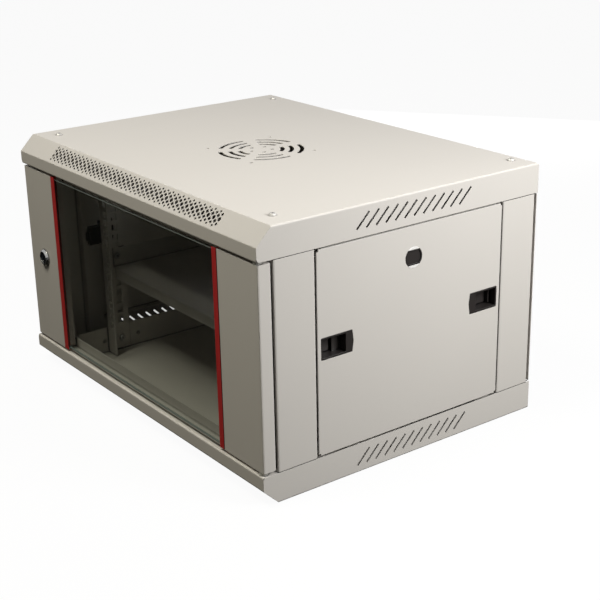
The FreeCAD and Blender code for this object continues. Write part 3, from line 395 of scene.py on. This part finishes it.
coil_spring()
for screws, body, span, outward in (
        ("top_corner_screws", "cabinet", 0.0052, lambda p: (0, 0, 1)),
        ("bottom_corner_screws", "cabinet", 0.0056, lambda p: (0, 0, -1)),
        ("rear_panel_screws", "cabinet", 0.0038, lambda p: (0, 1, 0)),
        ("rail_screws", "cabinet", 0.0052, lambda p: (-1 if p[0] > 0 else 1, 0, 0)),
        ("shelf_screws", "cabinet", 0.0052, lambda p: (-1 if p[0] > 0 else 1, 0, 0)),
        ("lock_cam_screw", "lock", 0.0048, lambda p: (0, 1, 0))):
    driver_crosses(screws, body, span, outward)
blank_lips("right", 1)
blank_lips("left", -1)


# ---- camera --------------------------------------------------------------
CAMERA_PLACE = Vector((1.4228, -0.9934, 0.7720))
CAMERA_AIM = Vector((0.0394, 0.0266, 0.1323))
CAMERA_ROLL = math.radians(1.16)
CAMERA_LENS = 77.19

camera_data = bpy.data.cameras.new("camera")
camera_data.sensor_width = 36.0
camera_data.lens = CAMERA_LENS
camera = bpy.data.objects.new("camera", camera_data)
bpy.context.collection.objects.link(camera)
camera.location = CAMERA_PLACE
gaze = (CAMERA_AIM - CAMERA_PLACE).to_track_quat("-Z", "Y")
camera.rotation_mode = "QUATERNION"
camera.rotation_quaternion = gaze @ Matrix.Rotation(-CAMERA_ROLL, 3, "Z").to_quaternion()
camera_data.clip_start, camera_data.clip_end = 0.02, 60.0
bpy.context.scene.camera = camera


# ---- room ----------------------------------------------------------------
ROOM_LIGHT = 0.03
# Share of the white background that metal and glass mirror. 1 for both is the plain setting. They are
# lower to keep the pane as dark as in the photograph, which report.md names as a departure.
SKY_MIRRORED, FLOOR_MIRRORED = 0.5, 0.0
FLOOR_BOUNCE = (0.07, 0.065, 0.05)         # floor as it lights the object
FLOOR_GLOSS = (0.015, 0.015, 0.014)        # floor as metal and glass mirror it
FLOOR_WHITE = 0.95                         # share of plain white in it; the rest takes the shadow
FLOOR_HALF, FLOOR_DROP = 6.0, 0.0004


def seen_share(tree, mirrored):
    """1 for what the camera sees directly or through glass, and mirrored for what it sees in mirrors."""
    rays = node(tree, "ShaderNodeLightPath")
    plain = node(tree, "ShaderNodeMath", operation="MAXIMUM")
    link(tree, rays.outputs["Is Camera Ray"], plain.inputs[0])
    link(tree, rays.outputs["Is Transmission Ray"], plain.inputs[1])
    gloss = node(tree, "ShaderNodeMath", {1: mirrored}, operation="MULTIPLY")
    link(tree, rays.outputs["Is Glossy Ray"], gloss.inputs[0])
    both = node(tree, "ShaderNodeMath", operation="MAXIMUM")
    link(tree, plain.outputs[0], both.inputs[0])
    link(tree, gloss.outputs[0], both.inputs[1])
    return both.outputs[0]


def floor():
    """Ground under the cabinet: white to the camera, dark to the light that it sends back."""
    half = FLOOR_HALF
    mesh = bpy.data.meshes.new("floor")
    mesh.from_pydata([(-half, -half, 0), (half, -half, 0), (half, half, 0), (-half, half, 0)],
                     [], [(0, 1, 2, 3)])
    ground = bpy.data.objects.new("floor", mesh)
    bpy.context.collection.objects.link(ground)
    ground.location.z = -FLOOR_DROP
    material, tree, out = new_material("pale_ground")
    place = node(tree, "ShaderNodeTexCoord")
    noise = node(tree, "ShaderNodeTexNoise", {"Scale": 1.5, "Detail": 2.0})
    link(tree, place.outputs["Object"], noise.inputs["Vector"])
    pale = colour_mix(tree, (0.88, 0.88, 0.88), (0.91, 0.91, 0.91), noise.outputs["Fac"])
    seen = seen_share(tree, FLOOR_MIRRORED)
    rays = node(tree, "ShaderNodeLightPath")
    other = colour_mix(tree, FLOOR_BOUNCE, FLOOR_GLOSS, rays.outputs["Is Glossy Ray"])
    tone = colour_mix(tree, FLOOR_BOUNCE, (0.9, 0.9, 0.9), seen)
    link(tree, other.outputs[MIXED], tone.inputs[MIX_A])
    link(tree, pale.outputs[MIXED], tone.inputs[MIX_B])
    surface = node(tree, "ShaderNodeBsdfPrincipled", {"Roughness": 0.9, "Specular IOR Level": 0.0})
    link(tree, tone.outputs[MIXED], surface.inputs["Base Color"])
    white = node(tree, "ShaderNodeEmission", {"Color": (1, 1, 1, 1), "Strength": 1.0})
    share = node(tree, "ShaderNodeMath", {1: FLOOR_WHITE}, operation="MULTIPLY")
    link(tree, seen, share.inputs[0])
    mix = node(tree, "ShaderNodeMixShader")
    link(tree, share.outputs[0], mix.inputs["Fac"])
    link(tree, surface.outputs["BSDF"], mix.inputs[1])
    link(tree, white.outputs["Emission"], mix.inputs[2])
    link(tree, mix.outputs["Shader"], out.inputs["Surface"])
    mesh.materials.append(material)


def soft_light(name, place, aim, size, energy, colour=(1, 1, 1)):
    """Rectangular lamp at a place, turned to its aim, unseen by the camera."""
    data = bpy.data.lights.new(name, "AREA")
    data.shape = "RECTANGLE"
    data.size, data.size_y = size
    data.energy = energy
    data.color = colour
    lamp = bpy.data.objects.new(name, data)
    bpy.context.collection.objects.link(lamp)
    lamp.location = place
    lamp.visible_camera = False
    lamp.rotation_mode = "QUATERNION"
    lamp.rotation_quaternion = (Vector(aim) - Vector(place)).to_track_quat("-Z", "Y")


def world():
    """White behind the object for the camera, dimmer for the light it gives."""
    sky = bpy.data.worlds.new("room")
    bpy.context.scene.world = sky
    sky.use_nodes = True
    tree = sky.node_tree
    tree.nodes.clear()
    out = node(tree, "ShaderNodeOutputWorld")
    mix = node(tree, "ShaderNodeMixShader")
    room = node(tree, "ShaderNodeBackground", {"Color": (1.0, 0.98, 0.92, 1), "Strength": ROOM_LIGHT})
    white = node(tree, "ShaderNodeBackground", {"Color": (1, 1, 1, 1), "Strength": 1.0})
    link(tree, seen_share(tree, SKY_MIRRORED), mix.inputs["Fac"])
    link(tree, room.outputs["Background"], mix.inputs[1])
    link(tree, white.outputs["Background"], mix.inputs[2])
    link(tree, mix.outputs["Shader"], out.inputs["Surface"])


floor()
world()
soft_light("front_top", (0.0, -1.0, 2.1), (0, 0, 0.2), (0.6, 0.6), 28.6, (1.0, 0.96, 0.82))
soft_light("top", (0.02, 0.08, 2.30), (0, 0, 0.2), (1.2, 1.2), 9.0, (0.80, 0.83, 1.0))
soft_light("side", (1.15, 0.35, 0.75), (0.1, 0.05, 0.20), (0.5, 0.5), 13.1, (1.0, 0.995, 0.975))
soft_light("back", (-1.1, 1.5, 0.20), (0, 0, 0.18), (0.8, 0.3), 10.0)

view = bpy.context.scene.view_settings
view.view_transform = "Standard"
